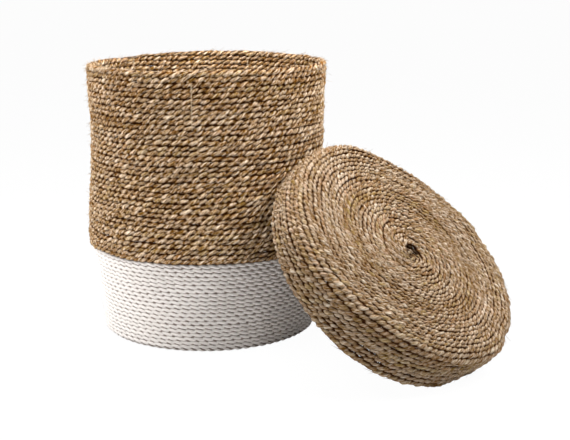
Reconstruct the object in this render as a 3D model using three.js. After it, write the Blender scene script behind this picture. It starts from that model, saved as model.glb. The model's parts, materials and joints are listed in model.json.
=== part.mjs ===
// A round lidded basket, coiled from thick twisted seagrass rope and sewn with twine.
// The lower wall is white rope, the upper wall and the lid are natural rope, and the lid has been
// taken off and leans on the wall.
// Millimetres, +Z up. The origin is the middle of the base on the floor, and the lid leans on the
// +X side.

import * as THREE from 'three';

// Basket wall: outer radii and the heights they are measured at. The white rope is thinner, so it
// stands back from the belly by the inset.
const BASKET_HEIGHT = 452;
const RIM_RADIUS = 200;
const WAIST_HEIGHT = 320;
const WAIST_RADIUS = 197;
const WHITE_HEIGHT = 151;
const BELLY_RADIUS = 203.5;
const WHITE_INSET = 3;
const FOOT_RADIUS = 180;

// Rope: thickness through the wall, height of one round, and depth of the groove between rounds
const NATURAL_ROPE_THICKNESS = 9.4;
const NATURAL_ROUND = 8.2;
const NATURAL_GROOVE = 2.6;
const WHITE_ROPE_THICKNESS = 8;
const WHITE_ROUND = 6.9;
const WHITE_GROOVE = 2.2;
const BASE_THICKNESS = 7;
const BASE_EDGE_ROUNDING = 2.5;

// Lid: its skirt goes over the rim, and its top is a spiral that starts at a small open eye
const LID_DEPTH = 66;
const LID_FIT = 2;
const LID_TAPER = 0.5;
const LID_SEAT = 4;
const LID_SHOULDER_RADIUS = 16;
const LID_EYE_RADIUS = 5;
const LEAN_ANGLE = 42.8;
const LEAN_CLEARANCE = 0.4;

// Sewing: twine that lies on the inside of the rope, and the seams between coils
const STITCH_LINES = 11;
const TWINE_RADIUS = 0.8;
const TWINE_CLEARANCE = 0.4;
const TWINE_MARGIN = 6;
const BASE_STITCH_START = 12;
const SEAM_GAP = 0.3;

// Fineness: steps in one round of rope, the blunt end of a rope as a share of a round, the sides
// of a twine, and the rings that follow the curve of the natural wall's inside
const STEPS = 22;
const BLUNT_END = 0.25;
const TWINE_SIDES = 8;
const NATURAL_INSIDE_RINGS = 6;
const BASE_SIDES = 44;

// Where the rope ends lie, as a count of steps round from +X, on the sides away from the lid
const WALL_ENDS_STEP = 8;
const SKIRT_ENDS_STEP = 6;
const LID_TOP_ENDS_STEP = 16;

const NATURAL_FINISH = { color: 0xa8845c, roughness: 0.85, metalness: 0 };
const LID_FINISH = { color: 0xac8a64, roughness: 0.85, metalness: 0 };
const WHITE_FINISH = { color: 0xebe6e0, roughness: 0.7, metalness: 0 };
const TWINE_FINISH = { color: 0xcdb892, roughness: 0.85, metalness: 0 };

const mix = THREE.MathUtils.lerp;

// Half of a cosine wave from one value to another, flat at both ends
function swing(from, to, share) {
  return mix(from, to, (1 - Math.cos(Math.PI * share)) / 2);
}

function whiteRadius(height) {
  return mix(FOOT_RADIUS, BELLY_RADIUS - WHITE_INSET, height / WHITE_HEIGHT);
}

// The natural wall draws in from its belly to the waist and opens again to the rim
function naturalRadius(height) {
  if (height < WAIST_HEIGHT) {
    const share = (height - WHITE_HEIGHT) / (WAIST_HEIGHT - WHITE_HEIGHT);
    return swing(BELLY_RADIUS, WAIST_RADIUS, share);
  }
  const share = (height - WAIST_HEIGHT) / (BASKET_HEIGHT - WAIST_HEIGHT);
  return swing(WAIST_RADIUS, RIM_RADIUS, share);
}

function polar(radius, angle, height) {
  return new THREE.Vector3(radius * Math.cos(angle), radius * Math.sin(angle), height);
}

// A surface that is put together point by point from flat faces
class Skin {
  constructor() {
    this.points = [];
    this.faces = [];
  }

  point(place) {
    this.points.push(place.x, place.y, place.z);
    return this.points.length / 3 - 1;
  }

  ring(places) {
    return places.map((place) => this.point(place));
  }

  quad(a, b, c, d) {
    this.faces.push(a, b, c, a, c, d);
  }

  // Joins two closed rings of equally many points
  band(first, second) {
    first.forEach((point, i) => {
      const next = (i + 1) % first.length;
      this.quad(point, first[next], second[next], second[i]);
    });
  }

  // Closes a flat ring with a fan of triangles
  cap(ring) {
    for (let i = 1; i < ring.length - 1; i += 1) {
      this.faces.push(ring[0], ring[i], ring[i + 1]);
    }
  }

  geometry() {
    const geometry = new THREE.BufferGeometry();
    geometry.setAttribute('position', new THREE.Float32BufferAttribute(this.points, 3));
    geometry.setIndex(this.faces);
    geometry.computeVertexNormals();
    return geometry;
  }
}

// One rope sewn round and round into a sheet. Its face is one unbroken ridge, which climbs by one
// rope each round. Both ends of the rope thin out over a round, so the sheet's two edges are level,
// and each ends in a small blunt face. The back is plain.
//   width: from the sheet's first edge to its last, across the rounds
//   round: the width of one round, fitted to a whole number of rounds
//   face(angle, along, bulge): a place on the face, where bulge is 0 in a groove and 1 on a crest
//   back: functions of the angle that give the rings of the back, from first edge to last
function coiledSheet({ width, round, endsStep, face, back }) {
  const rounds = Math.max(2, Math.round(width / round + 1 - 2 * BLUNT_END));
  const climb = width / (rounds - 1 + 2 * BLUNT_END);
  const lastTurn = (rounds - 1) * STEPS;
  const skin = new Skin();
  const angleAt = (step) => (2 * Math.PI * (step + endsStep)) / STEPS;
  const grooveAt = (step) => climb * (BLUNT_END + step / STEPS);
  const turn = Array.from({ length: STEPS }, (_, step) => step);

  const firstEdge = skin.ring(turn.map((step) => face(angleAt(step), 0, 0)));
  const lastEdge = skin.ring(turn.map((step) => face(angleAt(step), width, 0)));
  const groove = [];
  for (let step = 0; step <= lastTurn; step += 1) {
    groove.push(skin.point(face(angleAt(step), grooveAt(step), 0)));
  }
  const crest = [];
  for (let step = 0; step <= rounds * STEPS; step += 1) {
    const low = step < STEPS ? 0 : grooveAt(step - STEPS);
    const high = step > lastTurn ? width : grooveAt(step);
    const fullness = ((high - low) / climb - BLUNT_END) / (1 - BLUNT_END);
    const bulge = THREE.MathUtils.clamp(fullness, 0, 1);
    crest.push(skin.point(face(angleAt(step), (low + high) / 2, bulge)));
  }

  for (let step = 0; step < rounds * STEPS; step += 1) {
    const inFirstTurn = step < STEPS;
    const inLastTurn = step >= lastTurn;
    const lowEdge = inFirstTurn
      ? [firstEdge[step], firstEdge[(step + 1) % STEPS]]
      : [groove[step - STEPS], groove[step + 1 - STEPS]];
    const highEdge = inLastTurn
      ? [lastEdge[step - lastTurn], lastEdge[(step + 1 - lastTurn) % STEPS]]
      : [groove[step], groove[step + 1]];
    skin.quad(lowEdge[0], lowEdge[1], crest[step + 1], crest[step]);
    skin.quad(crest[step], crest[step + 1], highEdge[1], highEdge[0]);
  }
  skin.quad(crest[0], groove[0], crest[STEPS], firstEdge[0]);
  skin.quad(crest[rounds * STEPS], groove[lastTurn], crest[lastTurn], lastEdge[0]);

  const backRings = back.map((place) => skin.ring(turn.map((step) => place(angleAt(step)))));
  const inward = [firstEdge, ...backRings, lastEdge];
  for (let i = 0; i < inward.length - 1; i += 1) {
    skin.band(inward[i + 1], inward[i]);
  }
  return skin.geometry();
}

// A twine laid in the upright plane at an angle, along a route of points (radius, height)
function twineAlong(angle, route) {
  const skin = new Skin();
  const across = polar(1, angle + Math.PI / 2, 0);
  const directions = route.slice(1).map((point, i) => point.clone().sub(route[i]).normalize());
  const leftOf = (direction) => new THREE.Vector2(-direction.y, direction.x);
  const rings = route.map((point, i) => {
    const before = leftOf(directions[Math.max(i - 1, 0)]);
    const after = leftOf(directions[Math.min(i, directions.length - 1)]);
    const mitre = before.clone().add(after).normalize();
    mitre.divideScalar(mitre.dot(before));
    const places = [];
    for (let side = 0; side < TWINE_SIDES; side += 1) {
      const turn = (2 * Math.PI * side) / TWINE_SIDES;
      const inPlane = point.clone().addScaledVector(mitre, TWINE_RADIUS * Math.cos(turn));
      const place = polar(inPlane.x, angle, inPlane.y);
      places.push(place.addScaledVector(across, -TWINE_RADIUS * Math.sin(turn)));
    }
    return skin.ring(places);
  });
  for (let i = 0; i < rings.length - 1; i += 1) {
    skin.band(rings[i], rings[i + 1]);
  }
  skin.cap([...rings[0]].reverse());
  skin.cap(rings[rings.length - 1]);
  return skin.geometry();
}

// Twine lies against the middle of a flat of the faceted inside, where the radius is smallest
const FLAT_SHARE = Math.cos(Math.PI / STEPS);
const TWINE_OFFSET = TWINE_CLEARANCE + TWINE_RADIUS;

function besideInside(radius) {
  return radius * FLAT_SHARE - TWINE_OFFSET;
}

// The middle of the flat that a line of stitches climbs
function stitchAngle(line) {
  const flat = Math.round((line * STEPS) / STITCH_LINES);
  return (2 * Math.PI * (flat + 0.5)) / STEPS;
}

function piece(name, geometry, finish) {
  const mesh = new THREE.Mesh(geometry, new THREE.MeshStandardMaterial(finish));
  mesh.name = name;
  return mesh;
}

function addStitches(group, name, routeOf) {
  for (let line = 0; line < STITCH_LINES; line += 1) {
    const label = String(line + 1).padStart(2, '0');
    const geometry = twineAlong(stitchAngle(line), routeOf());
    group.add(piece(`${name}_${label}`, geometry, TWINE_FINISH));
  }
}

// Base: a flat coil of rope with a rounded edge, which the wall stands on
function baseCoil() {
  const flatRadius = FOOT_RADIUS - BASE_EDGE_ROUNDING;
  const profile = [
    new THREE.Vector2(0, 0),
    new THREE.Vector2(flatRadius, 0),
    new THREE.Vector2(FOOT_RADIUS, BASE_THICKNESS / 2),
    new THREE.Vector2(flatRadius, BASE_THICKNESS),
    new THREE.Vector2(0, BASE_THICKNESS),
  ];
  return new THREE.LatheGeometry(profile, BASE_SIDES).rotateX(Math.PI / 2);
}

// White wall: from the base up to the change of colour
const whiteFoot = BASE_THICKNESS + SEAM_GAP;

function whiteInside(height) {
  return whiteRadius(height) - WHITE_ROPE_THICKNESS;
}

function whiteWallCoil() {
  return coiledSheet({
    width: WHITE_HEIGHT - whiteFoot,
    round: WHITE_ROUND,
    endsStep: WALL_ENDS_STEP,
    face: (angle, along, bulge) => {
      const height = whiteFoot + along;
      return polar(whiteRadius(height) - WHITE_GROOVE * (1 - bulge), angle, height);
    },
    back: [whiteFoot, WHITE_HEIGHT].map((height) => (angle) => polar(whiteInside(height), angle, height)),
  });
}

// Natural wall: from the change of colour up to the rim
const naturalFoot = WHITE_HEIGHT + SEAM_GAP;

function naturalInside(height) {
  return naturalRadius(height) - NATURAL_ROPE_THICKNESS;
}

const naturalInsideHeights = Array.from({ length: NATURAL_INSIDE_RINGS }, (_, ring) => (
  mix(naturalFoot, BASKET_HEIGHT, ring / (NATURAL_INSIDE_RINGS - 1))
));

function naturalWallCoil() {
  return coiledSheet({
    width: BASKET_HEIGHT - naturalFoot,
    round: NATURAL_ROUND,
    endsStep: WALL_ENDS_STEP,
    face: (angle, along, bulge) => {
      const height = naturalFoot + along;
      return polar(naturalRadius(height) - NATURAL_GROOVE * (1 - bulge), angle, height);
    },
    back: naturalInsideHeights.map((height) => (angle) => polar(naturalInside(height), angle, height)),
  });
}

// Wall stitches climb the inside from the base to just under the rim
function wallStitchRoute() {
  const seamRadius = Math.min(whiteInside(WHITE_HEIGHT), naturalInside(naturalFoot));
  const stations = [
    [whiteInside(whiteFoot), whiteFoot],
    [seamRadius, WHITE_HEIGHT],
    ...naturalInsideHeights.slice(1).map((height) => [naturalInside(height), height]),
  ];
  const route = stations.map(([radius, height]) => new THREE.Vector2(besideInside(radius), height));
  const shorten = (end, next) => end.lerp(next, TWINE_MARGIN / Math.abs(next.y - end.y));
  shorten(route[0], route[1]);
  shorten(route[route.length - 1], route[route.length - 2]);
  return route;
}

// Base stitches run out from the middle of the base, on its inside
function baseStitchRoute() {
  const height = BASE_THICKNESS + TWINE_OFFSET;
  const end = besideInside(whiteInside(whiteFoot)) - TWINE_MARGIN;
  return [new THREE.Vector2(BASE_STITCH_START, height), new THREE.Vector2(end, height)];
}

// Lid, in its own frame: the open mouth is at height 0 and the top faces up
const lidMouthInside = RIM_RADIUS + LID_FIT;
const lidTopUnderside = LID_DEPTH - NATURAL_ROPE_THICKNESS;
const skirtHeight = lidTopUnderside - SEAM_GAP;
const lidTopRadius = lidMouthInside - LID_TAPER + LID_SEAT;

function skirtInside(height) {
  return lidMouthInside - LID_TAPER * (height / skirtHeight);
}

function lidSkirtCoil() {
  return coiledSheet({
    width: skirtHeight,
    round: NATURAL_ROUND,
    endsStep: SKIRT_ENDS_STEP,
    face: (angle, along, bulge) => {
      const outside = skirtInside(along) + NATURAL_ROPE_THICKNESS;
      return polar(outside - NATURAL_GROOVE * (1 - bulge), angle, along);
    },
    back: [0, skirtHeight].map((height) => (angle) => polar(skirtInside(height), angle, height)),
  });
}

// The top is level and rounds over at a shoulder that the skirt's outside carries on
function lidTopHeight(radius) {
  const skirtOutside = skirtInside(skirtHeight) + NATURAL_ROPE_THICKNESS;
  const past = Math.max(0, radius - (skirtOutside - LID_SHOULDER_RADIUS));
  return LID_DEPTH - LID_SHOULDER_RADIUS + Math.sqrt(LID_SHOULDER_RADIUS ** 2 - past ** 2);
}

function lidTopCoil() {
  return coiledSheet({
    width: lidTopRadius - LID_EYE_RADIUS,
    round: NATURAL_ROUND,
    endsStep: LID_TOP_ENDS_STEP,
    face: (angle, along, bulge) => {
      const radius = LID_EYE_RADIUS + along;
      return polar(radius, -angle, lidTopHeight(radius) - NATURAL_GROOVE * (1 - bulge));
    },
    back: [LID_EYE_RADIUS, lidTopRadius].map((radius) => (angle) => polar(radius, -angle, lidTopUnderside)),
  });
}

// Lid stitches run out under the top and then down the inside of the skirt
function lidStitchRoute() {
  const height = lidTopUnderside - TWINE_OFFSET;
  return [
    new THREE.Vector2(LID_EYE_RADIUS + TWINE_MARGIN, height),
    new THREE.Vector2(besideInside(skirtInside(height)), height),
    new THREE.Vector2(besideInside(skirtInside(TWINE_MARGIN)), TWINE_MARGIN),
  ];
}

// The lid leans with the low edge of its mouth on the floor and the high edge on the wall
function leanLid(lid) {
  const lean = THREE.MathUtils.degToRad(LEAN_ANGLE);
  const edge = skirtInside(0) + NATURAL_ROPE_THICKNESS - NATURAL_GROOVE;
  const middleHeight = edge * Math.sin(lean) + LEAN_CLEARANCE;
  const touchHeight = middleHeight + edge * Math.sin(lean);
  const wall = touchHeight > WHITE_HEIGHT ? naturalRadius(touchHeight) : whiteRadius(touchHeight);
  lid.rotation.y = lean;
  lid.position.set(wall + LEAN_CLEARANCE + edge * Math.cos(lean), 0, middleHeight);
}

const lid = new THREE.Group();
lid.add(piece('lid_top_coil', lidTopCoil(), LID_FINISH));
lid.add(piece('lid_skirt_coil', lidSkirtCoil(), LID_FINISH));
addStitches(lid, 'lid_stitch', lidStitchRoute);
leanLid(lid);

const basket = new THREE.Group();
basket.add(piece('base_coil', baseCoil(), WHITE_FINISH));
basket.add(piece('white_wall_coil', whiteWallCoil(), WHITE_FINISH));
basket.add(piece('natural_wall_coil', naturalWallCoil(), NATURAL_FINISH));
addStitches(basket, 'base_stitch', baseStitchRoute);
addStitches(basket, 'wall_stitch', wallStitchRoute);
basket.add(lid);

export default basket;
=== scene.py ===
# A round basket coiled from twisted seagrass rope, with its lid taken off and leaning on the wall.
# Metres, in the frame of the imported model: the basket stands on the floor with its axis on Z, and
# the lid leans on its +X side.
import json
import math

import bpy
import numpy as np
from mathutils import Matrix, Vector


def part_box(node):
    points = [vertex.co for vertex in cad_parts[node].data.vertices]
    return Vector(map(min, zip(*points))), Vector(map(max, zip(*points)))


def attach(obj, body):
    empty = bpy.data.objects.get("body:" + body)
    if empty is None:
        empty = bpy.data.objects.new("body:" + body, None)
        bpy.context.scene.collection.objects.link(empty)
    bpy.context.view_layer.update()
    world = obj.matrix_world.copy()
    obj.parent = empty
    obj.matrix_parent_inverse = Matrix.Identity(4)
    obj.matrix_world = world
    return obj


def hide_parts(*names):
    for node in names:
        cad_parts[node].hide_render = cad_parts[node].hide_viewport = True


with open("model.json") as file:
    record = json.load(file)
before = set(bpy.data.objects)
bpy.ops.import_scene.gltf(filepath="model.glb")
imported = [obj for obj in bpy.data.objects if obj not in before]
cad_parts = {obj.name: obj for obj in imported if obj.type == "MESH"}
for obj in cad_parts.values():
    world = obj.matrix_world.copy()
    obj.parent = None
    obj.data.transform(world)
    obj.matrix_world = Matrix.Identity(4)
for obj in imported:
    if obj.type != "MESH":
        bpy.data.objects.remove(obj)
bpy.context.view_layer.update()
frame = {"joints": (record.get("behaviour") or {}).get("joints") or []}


# Base
# A flat spiral of white rope, two strands twisted together and painted, sewn round by round from a
# small eye in the middle. Its last round turns up and goes on as the white wall.

chance = np.random.default_rng(4107)
base_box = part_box("base_coil")
white_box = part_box("white_wall_coil")
FOOT_RADIUS = base_box[1].x
BASE_THICKNESS = base_box[1].z
BASE_EYE = 0.006
BASE_ROUND = 0.0072
WHITE_THICKNESS = 0.008
WHITE_ROUND = 0.0069
WHITE_TOP = white_box[1].z
WHITE_TOP_RADIUS = 0.2005
WHITE_LAY = 0.029
WHITE_STEP = 0.0028
WHITE_WAIST = 0.42
SPLICE_ANGLE = math.radians(180)


def around(angle, radius, height):
    """Points at an angle, a distance out from an axis and a height along it."""
    return np.stack([radius * np.cos(angle), radius * np.sin(angle), height], -1)


def unit(vectors):
    return vectors / np.linalg.norm(vectors, axis=-1, keepdims=True)


def wander(along, spacing, size):
    """A value that drifts along a rope: a random knot at each spacing, eased from one to the next."""
    step = along / spacing
    knot = np.floor(step).astype(int)
    knots = chance.uniform(-size, size, knot.max() + 2)
    share = step - knot
    ease = share * share * (3 - 2 * share)
    return knots[knot] * (1 - ease) + knots[knot + 1] * ease


def two_strands(along, drifts):
    """Two values that drift apart from each other, one for each strand of a rope: a sum of drifts."""
    return sum(np.stack([wander(along, *drift), wander(along, *drift)], -1) for drift in drifts)


def waves(parts, angle, place):
    """A sum of sine waves round a coil. Each part is a height, how many waves go round, how far they
    shift for each metre of place, and where they start.
    """
    return sum(size * np.sin(times * angle + shift * place + start) for size, times, shift, start in parts)


# The rope's outline: seven points to a strand, as angles from the first strand's crest. PRESSED_OUT and
# PRESSED_SIDE are how far the pressed middle of the rope reaches outward and sideways, as shares of a
# crest. SQUASH is how far the outward share follows the twist, and TWIST_HOLD how long a crest stays out
STRAND_POINTS = 7
OUTLINE = np.pi * ((np.arange(2 * STRAND_POINTS) + 0.5) / STRAND_POINTS - 0.5)
STRAND_OF_POINT = np.arange(2 * STRAND_POINTS) // STRAND_POINTS
PRESSED_OUT = 0.36
PRESSED_SIDE = 1.15
SQUASH = 0.2
TWIST_HOLD = 0.05
# How a rope drifts along its length: the spacing of random knots in metres, and the most that a knot
# adds or takes away
LINE_OUT = (0.03, 0.0008)
LINE_ASIDE = (0.03, 0.0011)
TWIST_NEAR = (0.03, 1.0)
TWIST_FAR = (0.4, 2.5)
SIZES = [(0.012, 0.2), (0.11, 0.08)]
RIDGES = (0.008, 0.2)
PRESSING = (0.018, 0.25)
TONES = [(0.012, 0.15), (0.08, 0.1), (0.9, 0.13)]
HUES = [(0.05, 0.5), (0.35, 0.5)]
SEAM_SHADE_DRIFT = (0.012, 0.25)
# How near a crest a point may count at the seam between two rounds, which sets the painted shade
# along the seam, how fast that grows away from the seam, and the value at the crests of the last
# round's open side
SEAM_CREST = 1.0
SEAM_SLOPE = 1.4
OPEN_CREST = 0.66
MEASURED_PER_TURN = 240
FLOOR_GAP = 0.0002


def lay_rope(place, turns, step, thick, lay, hand, waist, uneven, overlap):
    """A twisted rope along a coil, as rings of points, with what its colours need.

    place gives the centre line, the outward direction and the fullness at a count of turns. The
    outline is two round strands side by side, which turn once in each lay, joined with a flat oval
    that doesn't turn, where the rounds press on each other. A strand's reach is the waist at its edge
    and 1 at its crest, by a cosine, times its size and the ridges of its blades. A point is the
    centre, plus outward times half the thickness times reach times cosine, plus sideways times half
    the height times reach times sine, and no point goes below the floor. The height is overlap times
    the step to the same place of the next round or of the one before, whichever is further. Uneven
    scales how far size and line drift. A point's crest value is its reach outward, less near the seam
    to the next round.
    """
    fine = np.linspace(*turns, int((turns[1] - turns[0]) * MEASURED_PER_TURN))
    line = place(fine)[0]
    length = np.append(0, np.cumsum(np.linalg.norm(np.diff(line, axis=0), axis=1)))
    along = np.linspace(0, length[-1], int(length[-1] / step) + 1)
    count = np.interp(along, length, fine)
    centre, outward, fullness = place(count)
    above = place(count + np.where(count + 1 <= turns[1], 1, -1))[0]
    below = place(count + np.where(count - 1 >= turns[0], -1, 1))[0]
    spaces = [np.linalg.norm(beside - centre, axis=1, keepdims=True) for beside in (above, below)]
    tall = overlap * np.maximum(*spaces)
    forward = unit(np.gradient(centre, axis=0))
    outward = unit(outward - forward * np.sum(outward * forward, -1, keepdims=True))
    sideways = np.cross(forward, outward)
    centre = centre + outward * (uneven * wander(along, *LINE_OUT))[:, None]
    centre = centre + sideways * (uneven * wander(along, *LINE_ASIDE))[:, None]
    twist = hand * 2 * np.pi * along / lay
    twist = twist + uneven * wander(along, *TWIST_NEAR) + wander(along, *TWIST_FAR)
    twist = twist - TWIST_HOLD * np.sin(2 * twist)
    size = 1 + uneven * two_strands(along, SIZES)
    size = size[:, STRAND_OF_POINT] * fullness[:, None]
    turn = OUTLINE + twist[:, None]
    ridges = 1 + uneven * np.stack([wander(along, *RIDGES) for point in OUTLINE], -1)
    strands = size * ridges * (waist + (1 - waist) * np.abs(np.cos(OUTLINE)))
    pressing = 1 + uneven * wander(along, *PRESSING) + SQUASH * np.cos(2 * twist)
    depth = PRESSED_OUT * pressing[:, None]
    pressed = fullness[:, None] / np.hypot(np.cos(turn) / depth, np.sin(turn) / PRESSED_SIDE)
    outline = np.maximum(strands, pressed)
    reach = outline * np.cos(turn) * thick / 2
    spread = outline * np.sin(turn) * tall / 2
    rings = centre[:, None] + reach[..., None] * outward[:, None] + spread[..., None] * sideways[:, None]
    rings[..., 2] = np.maximum(rings[..., 2], FLOOR_GAP)
    tone = two_strands(along, TONES)
    hue = two_strands(along, HUES)
    # The crest value, lowered near the seam, masks the painted shade: the materials darken the rope where
    # it is low, in the creases between strands and between rounds
    crest = np.abs(reach) / (thick / 2)
    aside = np.abs(spread) / (tall / overlap / 2)
    seam_unshaded = SEAM_CREST + uneven * wander(along, *SEAM_SHADE_DRIFT)[:, None]
    unshaded = np.minimum(crest, seam_unshaded + SEAM_SLOPE * (1 - aside))
    # The last round's far side lies open, with no round to shade it, so it gets less painted shade
    far = np.sum((centre - below) * sideways, -1, keepdims=True) * spread > 0
    open_side = far & (count > turns[1] - 1)[:, None]
    unshaded = np.where(open_side, np.maximum(crest, OPEN_CREST * np.abs(np.cos(OUTLINE))), unshaded)
    strand = np.stack([0.5 + tone[:, STRAND_OF_POINT], unshaded, 0.5 + hue[:, STRAND_OF_POINT] / 2,
                       np.ones_like(reach)], -1)
    return rings, strand, along


def new_piece(name, points, quads, caps, strand, maps, material):
    """A piece from points, faces of four corners, caps, each point's strand values, and maps that
    give the places of the four corners across and along.
    """
    mesh = bpy.data.meshes.new(name)
    mesh.from_pydata(points.reshape(-1, 3).tolist(), [], quads.reshape(-1, 4).tolist() + caps)
    mesh.shade_smooth()
    mesh.materials.append(material)
    colours = mesh.color_attributes.new("strand", "FLOAT_COLOR", "POINT")
    colours.data.foreach_set("color", strand.astype(np.float32).ravel())
    for map_name, places in maps.items():
        corners = np.zeros((len(mesh.loops), 2), np.float32)
        corners[:quads.size] = np.stack(places, -1).reshape(-1, 2)
        mesh.uv_layers.new(name=map_name).uv.foreach_set("vector", corners.ravel())
    piece = bpy.data.objects.new(name, mesh)
    bpy.context.scene.collection.objects.link(piece)
    return piece


ROW_MARGIN = 0.04


def tube(name, rings, strand, along, girth, material):
    """A closed tube through rings of points, with a cap on each end.

    Its map "rope" runs once round the tube and along its length in metres. Its map "OFBake" folds
    the same strip into rows that fill a square.
    """
    count, sides = rings.shape[:2]
    ring, side = np.meshgrid(np.arange(count - 1), np.arange(sides), indexing="ij")
    here, after = ring * sides, (side + 1) % sides
    quads = np.stack([here + side, here + after, here + sides + after, here + sides + side], -1)
    ends = [list(range(sides))[::-1], list(range((count - 1) * sides, count * sides))]
    across = np.stack([side, side + 1, side + 1, side], -1) / sides
    station = np.stack([ring, ring, ring + 1, ring + 1], -1)
    rows = max(1, round(math.sqrt((along[-1] - along[0]) / girth)))
    in_row = math.ceil((count - 1) / rows)
    row = (ring // in_row)[..., None]
    folded = [(station - row * in_row) / in_row, (row + ROW_MARGIN + (1 - 2 * ROW_MARGIN) * across) / rows]
    maps = {"rope": [across, along[station]], "OFBake": folded}
    return new_piece(name, rings, quads, ends, strand, maps, material)


class Shade:
    """One socket of a material's nodes. Arithmetic on it adds Math nodes."""

    def __init__(self, tree, socket=None):
        self.tree, self.socket = tree, socket

    def node(self, kind, settings, inputs, output=0):
        """Adds a node of a type, sets its settings, then gives its sockets values or links."""
        made = self.tree.nodes.new(kind)
        for name, value in settings.items():
            if name == "stops":
                for position, colour in value[2:]:
                    made.color_ramp.elements.new(position)
                for stop, (position, colour) in zip(made.color_ramp.elements, value):
                    stop.position, stop.color = position, colour
            else:
                setattr(made, name, value)
        fill(made, inputs)
        return Shade(self.tree, made.outputs[output])

    def math(self, operation, first, second):
        return self.node("ShaderNodeMath", {"operation": operation}, {0: first, 1: second})

    def __add__(self, other):
        return self.math("ADD", self, other)

    __radd__ = __add__

    def __sub__(self, other):
        return self.math("SUBTRACT", self, other)

    def __rsub__(self, other):
        return self.math("SUBTRACT", other, self)

    def __mul__(self, other):
        return self.math("MULTIPLY", self, other)

    __rmul__ = __mul__


def fill(node, inputs):
    """Sets a node's sockets: a Shade is linked, and anything else is the socket's own value."""
    for key, value in inputs.items():
        if isinstance(value, Shade):
            node.id_data.links.new(value.socket, node.inputs[key])
        else:
            node.inputs[key].default_value = value


def paint(red, green, blue):
    """A colour as it looks on a screen, 0 to 255, as linear light."""
    screen = np.array([red, green, blue]) / 255
    light = np.where(screen <= 0.04045, screen / 12.92, ((screen + 0.055) / 1.055) ** 2.4)
    return (*light.tolist(), 1.0)


def new_material(name):
    """A material with one Principled shader. Returns it, the shader and a Shade to start from."""
    material = bpy.data.materials.new(name)
    material.use_nodes = True
    shader = material.node_tree.nodes["Principled BSDF"]
    return material, shader, Shade(material.node_tree)


def blend(factor, first, second):
    """A colour that goes from the first to the second with the factor."""
    return factor.node("ShaderNodeMix", {"data_type": "RGBA"}, {0: factor, 6: first, 7: second}, 2)


def ramp(value, first, last, most):
    """A number that goes from 0 to most as a value goes from the first to the last."""
    return value.node("ShaderNodeMapRange", {}, {"Value": value, "From Min": first, "From Max": last,
                                                 "To Max": most})


def strand_parts(start):
    """The tone of each grain, how near a strand's crest a point is, which masks painted shade, and the
    grain's hue.
    """
    strand = start.node("ShaderNodeAttribute", {"attribute_name": "strand"}, {}, "Color")
    return [start.node("ShaderNodeSeparateColor", {}, {"Color": strand}, part)
            for part in ("Red", "Green", "Blue")]


def fibres(start, round_rope, per_metre):
    """Streaks that follow the strands: noise on the rope's own map, drawn out along its length."""
    strip = start.node("ShaderNodeUVMap", {"uv_map": "rope"}, {}, "UV")
    drawn = start.node("ShaderNodeMapping", {}, {"Vector": strip, "Scale": (round_rope, per_metre, 1)})
    noise = {"Vector": drawn, "Scale": 1.0, "Detail": 3.0, "Roughness": 0.6}
    return start.node("ShaderNodeTexNoise", {"noise_dimensions": "2D"}, noise)


def white_paint():
    """Matt white paint on rope, with painted shade in the creases, faint warm patches and fine fibres."""
    material, shader, start = new_material("white_rope_paint")
    tone, crest = strand_parts(start)[:2]
    streaks = fibres(start, 40, 120)
    place = start.node("ShaderNodeTexCoord", {}, {}, "Object")
    patches = start.node("ShaderNodeTexNoise", {}, {"Vector": place, "Scale": 14.0, "Detail": 2.0})
    colour = blend(patches * 0.5, paint(231, 226, 223), paint(219, 210, 202))
    # Painted shade: the creases between strands and rounds go dark brown
    colour = blend(ramp(crest, 0.5, 0.32, 0.9), colour, paint(84, 56, 34))
    colour = blend((1 - tone) * 0.12 + streaks * 0.1, colour, paint(196, 186, 174))
    bump = start.node("ShaderNodeBump", {}, {"Strength": 0.5, "Distance": 0.0003, "Height": streaks})
    fill(shader, {"Base Color": colour, "Roughness": 0.5 + streaks * 0.25, "Normal": bump})
    return material


def white_radius(height):
    """The white wall's outside: a straight flare from the foot to the change of colour."""
    return FOOT_RADIUS + (WHITE_TOP_RADIUS - FOOT_RADIUS) * height / WHITE_TOP


base_level = BASE_THICKNESS / 2
base_turns = (white_radius(base_level) - WHITE_THICKNESS / 2 - BASE_EYE) / BASE_ROUND
white_turns = (WHITE_TOP - base_level) / WHITE_ROUND
basket_start = SPLICE_ANGLE - 2 * np.pi * (base_turns + white_turns)


def base_place(turns):
    """The base's spiral: the radius grows by one rope each turn, and outward is down."""
    flat = np.full_like(turns, base_level)
    centre = around(basket_start + 2 * np.pi * turns, BASE_EYE + BASE_ROUND * turns, flat)
    return centre, np.broadcast_to([0.0, 0.0, -1.0], centre.shape), np.ones_like(turns)


white_rope_paint = white_paint()
WHITE_ROPE = {"step": WHITE_STEP, "lay": WHITE_LAY, "hand": 1, "waist": WHITE_WAIST, "uneven": 0.25,
              "overlap": 1.2}
WHITE_GIRTH = np.pi * WHITE_THICKNESS
base_rope = tube("base_rope", *lay_rope(base_place, (0, base_turns), thick=BASE_THICKNESS, **WHITE_ROPE),
                 WHITE_GIRTH, white_rope_paint)
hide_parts("base_coil")
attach(base_rope, "basket")


# Base stitches
# Lines of beige twine, two plies twisted, that sew the base's rounds together. Each runs out from the
# middle on the inside and is pulled down into the groove between one round and the next.

STITCH_LINES = 11
STITCH_START = math.pi / (2 * STITCH_LINES)
TWINE_RADIUS = 0.0008
TWINE_GIRTH = 2 * np.pi * TWINE_RADIUS
TWINE_PLY = 0.005
TWINE_SIDES = 6
TWINE_STEPS = 6
FIRST_SEWN = 0.8
SUNK = 0.96
OVER_ROUND = 0.72


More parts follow.
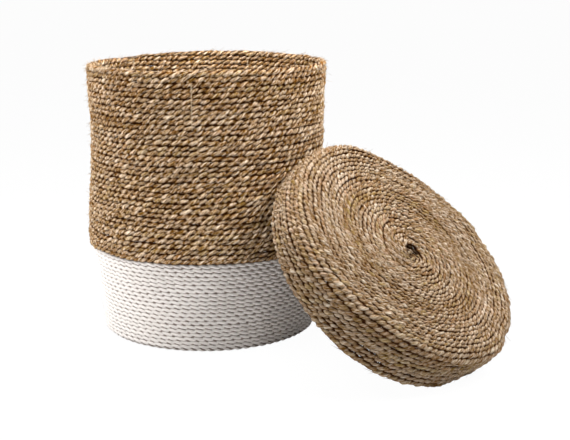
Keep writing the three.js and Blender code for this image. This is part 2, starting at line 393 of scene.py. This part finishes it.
def beige_twine():
    """Two-ply twine: pale on the plies, with painted shade in the crease between them, and a little fluff.
    """
    material, shader, start = new_material("beige_twine")
    strip = start.node("ShaderNodeUVMap", {"uv_map": "rope"}, {}, "UV")
    across, along_twine = [start.node("ShaderNodeSeparateXYZ", {}, {"Vector": strip}, part)
                           for part in "XY"]
    ply = start.math("SINE", (across + along_twine * (1 / TWINE_PLY)) * (4 * math.pi), 0.0) * 0.5 + 0.5
    fluff = fibres(start, 9, 600)
    # Painted shade: the crease between the plies goes brown
    colour = blend(ply * 0.75 + fluff * 0.25, paint(140, 112, 78), paint(224, 206, 176))
    relief = ply + fluff * 0.3
    bump = start.node("ShaderNodeBump", {}, {"Strength": 0.8, "Distance": 0.0003, "Height": relief})
    fill(shader, {"Base Color": colour, "Roughness": 0.75 + fluff * 0.2, "Normal": bump,
                  "Specular IOR Level": 0.2})
    return material


def crossings(angle, start, last):
    """The counts of turns, up to the last, at which a coil that starts at an angle passes another."""
    return np.arange((angle - start) / (2 * np.pi) % 1, last, 1.0)


def sew(name, centre, outward, half, side, node, body):
    """A line of twine across rounds of rope, given each round's centre, outward direction and half
    thickness, and the side that the twine passes on, -1 for the inside and 1 for the outside.

    Between rounds all of these go straight from one to the next. The twine lies off the centre by
    half a thickness times a cosine wave, which is full on a round and shallow in a groove.
    """
    rounds = np.arange(len(centre))
    fine = np.linspace(0, rounds[-1], rounds[-1] * TWINE_STEPS + 1)
    middle = np.stack([np.interp(fine, rounds, part) for part in centre.T], -1)
    out = unit(np.stack([np.interp(fine, rounds, part) for part in outward.T], -1))
    wave = OVER_ROUND + (SUNK - OVER_ROUND) * np.cos(2 * np.pi * fine)
    lift = np.interp(fine, rounds, half * side) * wave
    line = middle + out * lift[:, None]
    forward = unit(np.gradient(line, axis=0))
    across = unit(np.cross(forward, out))
    upward = np.cross(across, forward)
    turn = 2 * np.pi * np.arange(TWINE_SIDES) / TWINE_SIDES
    ring = np.cos(turn)[:, None] * upward[:, None] + np.sin(turn)[:, None] * across[:, None]
    along = np.append(0, np.cumsum(np.linalg.norm(np.diff(line, axis=0), axis=1)))
    strand = np.ones((len(line), TWINE_SIDES, 4))
    twine = tube(name, line[:, None] + TWINE_RADIUS * ring, strand, along, TWINE_GIRTH, twine_finish)
    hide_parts(node)
    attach(twine, body)


twine_finish = beige_twine()
stitch_angles = STITCH_START + 2 * np.pi * np.arange(STITCH_LINES) / STITCH_LINES
for line_number, angle in enumerate(stitch_angles, 1):
    sewn = crossings(angle, basket_start, base_turns)
    centre, outward, fullness = base_place(sewn[sewn > FIRST_SEWN])
    sew(f"base_twine_{line_number:02d}", centre, outward, BASE_THICKNESS / 2 * np.ones(len(centre)), -1,
        f"base_stitch_{line_number:02d}", "basket")


# White wall
# The base's painted rope climbs on in rounds that lie on each other, very even and pulled tight,
# up to the change of colour, where it is spliced to natural rope at the back.

WHITE_SWAY = [(0.0006, 3, 22, 0), (0.0004, 8, -35, 0)]


def white_place(turns):
    """The white wall's helix: it climbs one rope each turn, half a rope inside the wall's outside."""
    height = base_level + WHITE_ROUND * turns
    angle = basket_start + 2 * np.pi * (base_turns + turns)
    radius = white_radius(height) - WHITE_THICKNESS / 2 + waves(WHITE_SWAY, angle, height)
    return around(angle, radius, height), around(angle, 1 + 0 * angle, 0 * angle), np.ones_like(turns)


def cut_rope(names, rings, strand, along, girth, material, node, slot, body):
    """Makes a rope's mesh in stretches of equal length, one for each name, that stand for a node."""
    cuts = np.linspace(0, len(along) - 1, len(names) + 1).astype(int)
    for name, first, last in zip(names, cuts[:-1], cuts[1:]):
        stretch = slice(first, last + 1)
        rope = tube(name, rings[stretch], strand[stretch], along[stretch], girth, material)
        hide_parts(node)
        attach(rope, body)


white_rope = lay_rope(white_place, (0, white_turns), thick=WHITE_THICKNESS, **WHITE_ROPE)
cut_rope(["white_wall_rope_low", "white_wall_rope_high"], *white_rope, WHITE_GIRTH, white_rope_paint,
         "white_wall_coil", "white_rope", "basket")


# Natural wall
# Thicker seagrass rope, left as it grew: loosely twisted, uneven, and every shade from straw to
# brown. It climbs from the splice to the rim and thins out at the back of the last round.

natural_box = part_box("natural_wall_coil")
RIM_HEIGHT = natural_box[1].z
RIM_RADIUS = 0.2
WAIST_HEIGHT = 0.32
WAIST_RADIUS = 0.197
BELLY_RADIUS = 0.2035
NATURAL_THICKNESS = 0.0094
NATURAL_LAY = 0.0275
NATURAL_STEP = 0.0024
NATURAL_WAIST = 0.38
NATURAL_TURNS = 37
NATURAL_GIRTH = np.pi * NATURAL_THICKNESS
NATURAL_SWAY = [(0.0008, 3, 14, 0), (0.0006, 7, -31, 0)]
NATURAL_RISE = [(0.0007, 5, 40, 0)]
NATURAL_ROPE = {"step": NATURAL_STEP, "lay": NATURAL_LAY, "hand": -1, "waist": NATURAL_WAIST,
                "uneven": 1.0, "overlap": 1.2, "thick": NATURAL_THICKNESS}
SPLICE_RISE = 0.00065
# A rope's end thins out over this part of a turn and settles towards the round beside it
ROPE_END = 0.14
END_SETTLES = 0.8
NATURAL_FULLNESS = ([0, 0.03, NATURAL_TURNS - ROPE_END, NATURAL_TURNS], [0.85, 1, 1, 0.3])

first_natural = WHITE_TOP + SPLICE_RISE
second_natural = first_natural + WHITE_ROUND
NATURAL_ROUND = (RIM_HEIGHT - second_natural) / (NATURAL_TURNS - 1)


def swing(start, end, share):
    """Half of a cosine wave from one value to another, flat at both ends."""
    return start + (end - start) * (1 - np.cos(np.pi * np.clip(share, 0, 1))) / 2


def natural_radius(height):
    """The natural wall's outside: it draws in from the belly to the waist and opens to the rim."""
    lower = swing(BELLY_RADIUS, WAIST_RADIUS, (height - WHITE_TOP) / (WAIST_HEIGHT - WHITE_TOP))
    upper = swing(WAIST_RADIUS, RIM_RADIUS, (height - WAIST_HEIGHT) / (RIM_HEIGHT - WAIST_HEIGHT))
    return np.where(height < WAIST_HEIGHT, lower, upper)


def natural_place(turns):
    """The natural wall's helix. Its first turn lies on white rope, and its end thins out."""
    height = np.interp(turns, [0, 1, NATURAL_TURNS], [first_natural, second_natural, RIM_HEIGHT])
    angle = SPLICE_ANGLE + 2 * np.pi * turns
    fullness = np.interp(turns, *NATURAL_FULLNESS)
    radius = natural_radius(height) - NATURAL_THICKNESS / 2 + waves(NATURAL_SWAY, angle, height)
    rise = waves(NATURAL_RISE, angle, height)
    height = height + rise - END_SETTLES * NATURAL_ROUND * (1 - fullness)
    return around(angle, radius, height), around(angle, 1 + 0 * angle, 0 * angle), fullness


SHADE_PLACES = (0.0, 0.3, 0.65, 1.0)


def seagrass(name, shades, flank_shade, contrast):
    """Dry seagrass: each grain has its own tone, drawn out in fibres, with painted shade in the creases.

    The four shades go from the darkest to the palest. Some grains turn olive and some reddish. A
    grain's sides get painted shade in the given flank colour, and contrast is how far its blades differ.
    """
    material, shader, start = new_material(name)
    tone, crest, hue = strand_parts(start)
    blades = ramp(fibres(start, 13, 90), 0.36, 0.64, 1.0)
    streaks = ramp(fibres(start, 30, 180), 0.38, 0.62, 1.0)
    shade = tone + (blades - 0.5) * contrast + (streaks - 0.5) * 0.7
    stops = [(position, paint(*colour)) for position, colour in zip(SHADE_PLACES, shades)]
    colour = start.node("ShaderNodeValToRGB", {"stops": stops}, {"Fac": shade}, "Color")
    colour = blend(ramp(hue, 0.6, 0.95, 0.3), colour, paint(168, 146, 78))
    colour = blend(ramp(hue, 0.4, 0.05, 0.22), colour, paint(176, 120, 84))
    # Painted shade: the sides of each grain go to the flank colour
    colour = blend(ramp(crest, 0.95, 0.4, 0.5), colour, flank_shade)
    # Painted shade: the creases between strands and rounds go near black brown
    colour = blend(ramp(crest, 0.56, 0.34, 1.0) * (0.85 + blades * 0.2), colour, paint(52, 22, 0))
    relief = blades + streaks * 0.4
    bump = start.node("ShaderNodeBump", {}, {"Strength": 0.8, "Distance": 0.001, "Height": relief})
    fill(shader, {"Base Color": colour, "Roughness": 0.6 + streaks * 0.3, "Normal": bump,
                  "Specular IOR Level": 0.03})
    return material


FIBRE_STATIONS = 4
FIBRE_SIDES = 3
FIBRE_WIDTH = 0.0005
FIBRE_TAPER = 0.8
FIBRE_LENGTHS = (0.006, 0.02)
FIBRE_RISE = 0.0009
FIBRE_MOST_RISE = 0.0035
FIBRE_BEND = 0.003
LOOSE_RISE = 1.3
FIBRE_TONES = (0.25, 1.1)
FIBRE_HUES = (0.2, 0.8)
RINGS_EACH_WAY = 3
RINGS_AT_ENDS = 4
CELL_MARGIN = 0.1


def fray(name, rings, count, loose, loose_rings, material, nodes, body):
    """Loose fibres on a rope, each a blade with three sides that thins towards its end.

    A fibre starts at a random point of the rope. Its middle is the start, plus a step along the
    strand times the share of its length, plus steps off the rope and to the side times the share
    squared. The first fibres, as many as loose says, are in the first rings and stand off more.
    """
    ring = chance.integers(RINGS_AT_ENDS, len(rings) - RINGS_AT_ENDS, count)
    ring[:loose] = chance.integers(RINGS_AT_ENDS, loose_rings, loose)
    side = chance.integers(0, rings.shape[1], count)
    start = rings[ring, side]
    off = unit(start - rings[ring].mean(1))
    heading = unit(rings[ring + RINGS_EACH_WAY, side] - rings[ring - RINGS_EACH_WAY, side])
    across = np.cross(heading, off)
    share = np.linspace(0, 1, FIBRE_STATIONS)
    steps = [np.outer(chance.uniform(*FIBRE_LENGTHS, count), share),
             np.outer(np.minimum(chance.exponential(FIBRE_RISE, count), FIBRE_MOST_RISE), share ** 2),
             np.outer(chance.normal(0, FIBRE_BEND, count), share ** 2)]
    steps[1][:loose] *= LOOSE_RISE
    ways = (heading, off, across)
    middle = start[:, None] + sum(step[..., None] * way[:, None] for step, way in zip(steps, ways))
    turn = 2 * np.pi * np.arange(FIBRE_SIDES) / FIBRE_SIDES
    spoke = np.cos(turn)[:, None] * off[:, None] + np.sin(turn)[:, None] * across[:, None]
    width = FIBRE_WIDTH * (1 - FIBRE_TAPER * share)
    points = middle[:, :, None] + width[:, None, None] * spoke[:, None]
    points[..., 2] = np.maximum(points[..., 2], FLOOR_GAP)

    fibre, station, edge = np.meshgrid(np.arange(count), np.arange(FIBRE_STATIONS - 1),
                                       np.arange(FIBRE_SIDES), indexing="ij")
    here = (fibre * FIBRE_STATIONS + station) * FIBRE_SIDES
    after = (edge + 1) % FIBRE_SIDES
    quads = np.stack([here + edge, here + after, here + FIBRE_SIDES + after, here + FIBRE_SIDES + edge], -1)
    first = np.arange(count)[:, None] * FIBRE_STATIONS * FIBRE_SIDES
    caps = (first + [0, 2, 1]).tolist() + (first + (FIBRE_STATIONS - 1) * FIBRE_SIDES + [0, 1, 2]).tolist()
    strand = np.ones((count, FIBRE_STATIONS * FIBRE_SIDES, 4))
    strand[..., 0] = chance.uniform(*FIBRE_TONES, count)[:, None]
    strand[..., 2] = chance.uniform(*FIBRE_HUES, count)[:, None]
    around_it = np.stack([edge, edge + 1, edge + 1, edge], -1) / FIBRE_SIDES
    along_it = np.stack([station, station, station + 1, station + 1], -1) / (FIBRE_STATIONS - 1)
    row = math.ceil(math.sqrt(count))
    cell = fibre[..., None]
    inside = 1 - 2 * CELL_MARGIN
    folded = [(cell % row + CELL_MARGIN + inside * along_it) / row,
              (cell // row + CELL_MARGIN + inside * around_it) / row]
    maps = {"rope": [around_it, along_it * FIBRE_LENGTHS[1] + cell], "OFBake": folded}
    piece = new_piece(name, points, quads, caps, strand, maps, material)
    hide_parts(*nodes)
    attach(piece, body)


NATURAL_FIBRES = 5200
RIM_FIBRES = 700
NATURAL_SHADES = [(94, 57, 6), (152, 112, 58), (207, 178, 142), (240, 222, 200)]
# The third colour is the painted shade on the grains' sides
natural_seagrass = seagrass("natural_seagrass", NATURAL_SHADES, paint(120, 75, 12), 0.95)
natural_rope = lay_rope(natural_place, (0, NATURAL_TURNS), **NATURAL_ROPE)
cut_rope([f"natural_wall_rope_{part}" for part in ("low", "middle", "high")], *natural_rope,
         NATURAL_GIRTH, natural_seagrass, "natural_wall_coil", "natural_rope", "basket")
rim_rings = int(2 * np.pi * RIM_RADIUS / NATURAL_STEP)
fray("natural_wall_fibres", natural_rope[0][::-1], NATURAL_FIBRES, RIM_FIBRES, rim_rings, natural_seagrass,
     ["natural_wall_coil"], "basket")


# Wall stitches
# The same twine climbs the inside of both walls in lines. One line comes through to the outside for
# some rounds under the rim.

LAST_SEWN = 0.5
SHOWN_LINE = 10
SHOWN_ROUNDS = slice(-11, -2)

for line_number, angle in enumerate(stitch_angles, 1):
    white_sewn = white_place(crossings(angle, basket_start + 2 * np.pi * base_turns, white_turns))
    natural_sewn = natural_place(crossings(angle, SPLICE_ANGLE, NATURAL_TURNS - LAST_SEWN))
    centre, outward, fullness = [np.concatenate(both) for both in zip(white_sewn, natural_sewn)]
    rounds = [len(white_sewn[0]), len(natural_sewn[0])]
    half = np.repeat([WHITE_THICKNESS / 2, NATURAL_THICKNESS / 2], rounds)
    side = np.full(len(centre), -1.0)
    if line_number == SHOWN_LINE:
        side[SHOWN_ROUNDS] = 1.0
    sew(f"wall_twine_{line_number:02d}", centre, outward, half, side,
        f"wall_stitch_{line_number:02d}", "basket")


# Lid
# One seagrass rope, coiled out from a small eye in the middle of the top, over a round shoulder and
# down the skirt. It is a little out of true, as a hand-sewn lid is, and leans on the basket.

skirt_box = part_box("lid_skirt_coil")
lid_axis = np.array(frame["joints"][0]["axis"])
lid_slope = np.array([lid_axis[2], 0.0, -lid_axis[0]])
LID_EDGE_RADIUS = 0.2088
LID_DEPTH = 0.066
LID_OUTSIDE = 0.2112
LID_INSET = NATURAL_THICKNESS / 2
LID_ROUND = 0.0071
LID_THICKNESS = 0.0086
LID_LAY = 0.0235
LID_STEP = 0.0027
LID_WAIST = 0.47
LID_ROPE = {**NATURAL_ROPE, "step": LID_STEP, "lay": LID_LAY, "waist": LID_WAIST, "overlap": 1.22,
            "thick": LID_THICKNESS}
LID_FIBRES = 1900
LID_EYE = 0.019
EYE_SHIFT = 0.0135
EYE_TURNS = 3.45
EYE_DEPTH = 0.0085
EYE_PAINTED_SHADE = 0.78
EYE_FIBRES = 8
EYE_RINGS = 30
# Where the lid is out of true: an angle, how far to each side it reaches, and how far the place
# moves outward and up. The first list moves the whole edge, less towards the middle by a power of the
# radius, and the second only the skirt's lower part
EDGE_DENTS = [(19, 5, -0.006, 0), (90, 8, 0, 0.0035), (166, 16, 0, 0.007), (218, 15, -0.004, 0)]
SKIRT_DENTS = [(292, 38, 0.001, -0.0135), (305, 30, 0.004, 0), (356, 13, -0.0075, 0), (0, 30, 0, -0.0045)]
EDGE_POWER = 6
TOP_WAVE = [(0.0013, 3, 55, 0), (0.0012, 2, -40, 2)]
LID_SWAY = [(0.0010, 4, 60, 0), (0.0008, 7, 0, 1)]
WAVE_FADES = 0.7
SHOULDER_RADIUS = 0.015
SHOULDER_FULLER = 0.1
WORN_RADIUS = 0.022
WORN_ANGLE = math.radians(226)
WORN_WIDTH = math.radians(32)
LID_END_ANGLE = math.radians(100)
LID_END_HEIGHT = -0.001
mouth = np.array([skirt_box[0].x + LID_EDGE_RADIUS * lid_slope[0], 0.0,
                  skirt_box[0].z - LID_EDGE_RADIUS * lid_slope[2]])

top_level = LID_DEPTH - LID_INSET
skirt_radius = LID_OUTSIDE - LID_INSET
top_length = skirt_radius - SHOULDER_RADIUS - LID_EYE
bend_length = SHOULDER_RADIUS * np.pi / 2
skirt_length = top_level - SHOULDER_RADIUS - LID_END_HEIGHT
lid_turns = (top_length + bend_length + skirt_length) / LID_ROUND
top_turns = (top_length + bend_length / 2) / LID_ROUND
LID_FULLNESS = ([-EYE_TURNS, 0, lid_turns - ROPE_END, lid_turns], [0.95, 1, 1, 0.4])


def lean(places):
    """Takes points or directions from the lid's own axes, with its top up, to the way it leans."""
    return places @ np.array([lid_slope, [0, 1, 0], lid_axis])


def dents(angle, places):
    """How far points at an angle are pushed outward and up: a bell curve round each dented place."""
    places = np.array(places)
    away = (angle[:, None] - np.radians(places[:, 0]) + np.pi) % (2 * np.pi) - np.pi
    return (np.exp(-(away / np.radians(places[:, 1])) ** 2) @ places[:, 2:]).T


def lid_place(turns):
    """The lid's rope: flat out from the eye, round the shoulder, then straight down the skirt.

    The shoulder is a quarter circle, and wider in a bell curve round the worn side. Turns below 0 are
    the eye's: they wind inward, sunk below the top. Slow waves and dents move the rope out of true.
    """
    angle = LID_END_ANGLE + 2 * np.pi * (lid_turns - turns)
    away = (angle - WORN_ANGLE + np.pi) % (2 * np.pi) - np.pi
    extra = WORN_RADIUS * np.exp(-(away / WORN_WIDTH) ** 2)
    shoulder = SHOULDER_RADIUS + extra
    flat = top_length - extra
    run = np.maximum(turns, 0) * (LID_ROUND - extra * (2 - np.pi / 2) / lid_turns)
    bend = np.clip((run - flat) / shoulder, 0, np.pi / 2)
    radius = LID_EYE + np.minimum(run, flat) + shoulder * np.sin(bend)
    drop = shoulder * (1 - np.cos(bend)) + np.maximum(run - flat - shoulder * np.pi / 2, 0)
    outer = np.clip(radius / skirt_radius, 0, 1)
    wave = waves(TOP_WAVE, angle, radius)
    sway = outer * waves(LID_SWAY, angle, drop)
    fullness = np.interp(turns, *LID_FULLNESS)
    edge_out, edge_up = outer ** EDGE_POWER * dents(angle, EDGE_DENTS)
    skirt_out, skirt_up = drop / top_level * dents(angle, SKIRT_DENTS)
    into_eye = np.maximum(-turns, 0)
    radius = radius - LID_ROUND * np.maximum(into_eye - 1, 0) + sway + edge_out + skirt_out
    height = top_level - drop + edge_up + skirt_up + wave * (1 - WAVE_FADES * bend)
    height = height - EYE_DEPTH * np.minimum(into_eye, 1)
    height = height + END_SETTLES * LID_ROUND * (1 - fullness) * (turns > 1)
    fullness = fullness * (1 + SHOULDER_FULLER * np.sin(2 * bend))
    centre = around(angle, radius, height)
    centre[:, 0] += EYE_SHIFT * (1 - outer)
    outward = around(angle, np.sin(bend), np.cos(bend))
    return mouth + lean(centre), lean(outward), fullness


LID_SHADES = [(90, 58, 16), (129, 101, 66), (163, 140, 116), (197, 184, 165)]
# The third colour is the painted shade on the grains' sides
lid_seagrass = seagrass("lid_seagrass", LID_SHADES, paint(108, 74, 34), 0.6)
rings, strand, along = lay_rope(lid_place, (-EYE_TURNS, lid_turns), **LID_ROPE)
# The eye lies deep in shade, so its rope's crest value is lowered and it gets the painted shade of a crease
strand[along < np.pi * LID_EYE * (2 + LID_EYE / LID_ROUND), :, 1] *= EYE_PAINTED_SHADE
# One mesh is the top and one the skirt, cut about half way round the shoulder
top_area = (LID_EYE + LID_ROUND * top_turns) ** 2 - LID_EYE ** 2
cut = int(np.pi * top_area / LID_ROUND / LID_STEP)
for part, stretch, node in (("lid_top_rope", slice(0, cut + 1), "lid_top_coil"),
                            ("lid_skirt_rope", slice(cut, len(along)), "lid_skirt_coil")):
    lid_rope = tube(part, rings[stretch], strand[stretch], along[stretch], NATURAL_GIRTH, lid_seagrass)
    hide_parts(node)
    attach(lid_rope, "lid")
fray("lid_fibres", rings, LID_FIBRES, EYE_FIBRES, EYE_RINGS, lid_seagrass,
     ["lid_top_coil", "lid_skirt_coil"], "lid")


# Lid stitches
# The same beige twine sews the lid's rounds together. It lies on the inside, in lines that run from the
# eye out under the top and down the skirt.

lid_start = LID_END_ANGLE + 2 * np.pi * lid_turns
for line_number, angle in enumerate(stitch_angles, 1):
    sewn = crossings(-angle, -lid_start, lid_turns - LAST_SEWN)
    centre, outward, fullness = lid_place(sewn[sewn > FIRST_SEWN])
    sew(f"lid_twine_{line_number:02d}", centre, outward, NATURAL_THICKNESS / 2 * np.ones(len(centre)), -1,
        f"lid_stitch_{line_number:02d}", "lid")


# Studio
# A white floor that runs out of sight and white all round. Of four soft lamps one is near on the left,
# two stand high in front, left and right, and one hangs over the mouth.

VIEW_TURN = math.radians(39.6)
CAMERA_DISTANCE = 1.95
CAMERA_HEIGHT = 0.606
CAMERA_YAW = math.radians(3.88)
CAMERA_PITCH = math.radians(12.39)
FOCAL_PIXELS = 1152
IMAGE_WIDTH = 570
SENSOR_WIDTH = 36.0
FLOOR_SIZE = 80.0
FLOOR_GLOW = 0.97
AMBIENT = 0.14
LAMPS_AIM = [0.12, 0, 0.22]

turned = np.array([[math.cos(VIEW_TURN), math.sin(VIEW_TURN), 0],
                   [-math.sin(VIEW_TURN), math.cos(VIEW_TURN), 0], [0, 0, 1]])
looking = np.array([math.sin(CAMERA_YAW) * math.cos(CAMERA_PITCH),
                    math.cos(CAMERA_YAW) * math.cos(CAMERA_PITCH), -math.sin(CAMERA_PITCH)])
rightward = np.array([math.cos(CAMERA_YAW), -math.sin(CAMERA_YAW), 0])
axes = np.stack([rightward, np.cross(rightward, looking), -looking]) @ turned


def stand(data, place, facing):
    """Puts a lamp or a camera at a place, with its own axes given as the rows of facing."""
    thing = bpy.data.objects.new(data.name, data)
    thing.matrix_world = Matrix.Translation(place) @ Matrix(facing.T.tolist()).to_4x4()
    bpy.context.scene.collection.objects.link(thing)
    return thing


camera = bpy.data.cameras.new("photo_camera")
camera.sensor_width = SENSOR_WIDTH
camera.lens = SENSOR_WIDTH * FOCAL_PIXELS / IMAGE_WIDTH
camera_place = np.array([0, -CAMERA_DISTANCE, CAMERA_HEIGHT]) @ turned
bpy.context.scene.camera = stand(camera, camera_place, axes)


def softbox(name, place, width, power):
    """A square area lamp at a place given as right of, behind and above the basket, aimed at it."""
    lamp = bpy.data.lights.new(name, "AREA")
    lamp.size = width
    lamp.energy = power
    place = np.array(place) @ turned
    back = unit(place - np.array(LAMPS_AIM))
    across = unit(np.cross([0, 0, 1], back))
    stand(lamp, place, np.stack([across, np.cross(back, across), back]))


softbox("left_softbox", (-1.25, 0.0, 0.9), 0.6, 15)
softbox("left_front_softbox", (-1.3, -1.0, 2.3), 0.8, 39)
softbox("right_softbox", (1.6, -0.8, 2.2), 0.9, 80)
softbox("top_softbox", (0.05, -0.15, 1.25), 0.6, 16)


def seen_directly(start):
    """1 where a ray comes from the camera, a mirror or glass, and 0 where it only carries light."""
    path = [start.node("ShaderNodeLightPath", {}, {}, name)
            for name in ("Is Camera Ray", "Is Glossy Ray", "Is Transmission Ray")]
    return start.node("ShaderNodeClamp", {}, {"Value": path[0] + path[1] + path[2]})


world = bpy.data.worlds.new("white_studio")
world.use_nodes = True
bpy.context.scene.world = world
start = Shade(world.node_tree)
fill(world.node_tree.nodes["Background"], {"Color": (1, 1, 1, 1),
                                           "Strength": AMBIENT + seen_directly(start) * (1 - AMBIENT)})

corner = FLOOR_SIZE / 2
mesh = bpy.data.meshes.new("floor")
mesh.from_pydata([(-corner, -corner, 0), (corner, -corner, 0), (corner, corner, 0), (-corner, corner, 0)],
                 [], [(0, 1, 2, 3)])
material = bpy.data.materials.new("floor_white")
material.use_nodes = True
tree = material.node_tree
tree.nodes.remove(tree.nodes["Principled BSDF"])
start = Shade(tree)
matt_colour = blend(seen_directly(start), (0.7, 0.7, 0.7, 1), (0.95, 0.95, 0.95, 1))
matt = start.node("ShaderNodeBsdfDiffuse", {}, {"Color": matt_colour})
glow = start.node("ShaderNodeEmission", {}, {"Color": (1, 1, 1, 1), "Strength": 1.0})
both = start.node("ShaderNodeMixShader", {}, {0: seen_directly(start) * FLOOR_GLOW, 1: matt, 2: glow})
fill(tree.nodes["Material Output"], {"Surface": both})
mesh.materials.append(material)
floor = bpy.data.objects.new("floor", mesh)
bpy.context.scene.collection.objects.link(floor)

bpy.context.scene.view_settings.view_transform = "Standard"
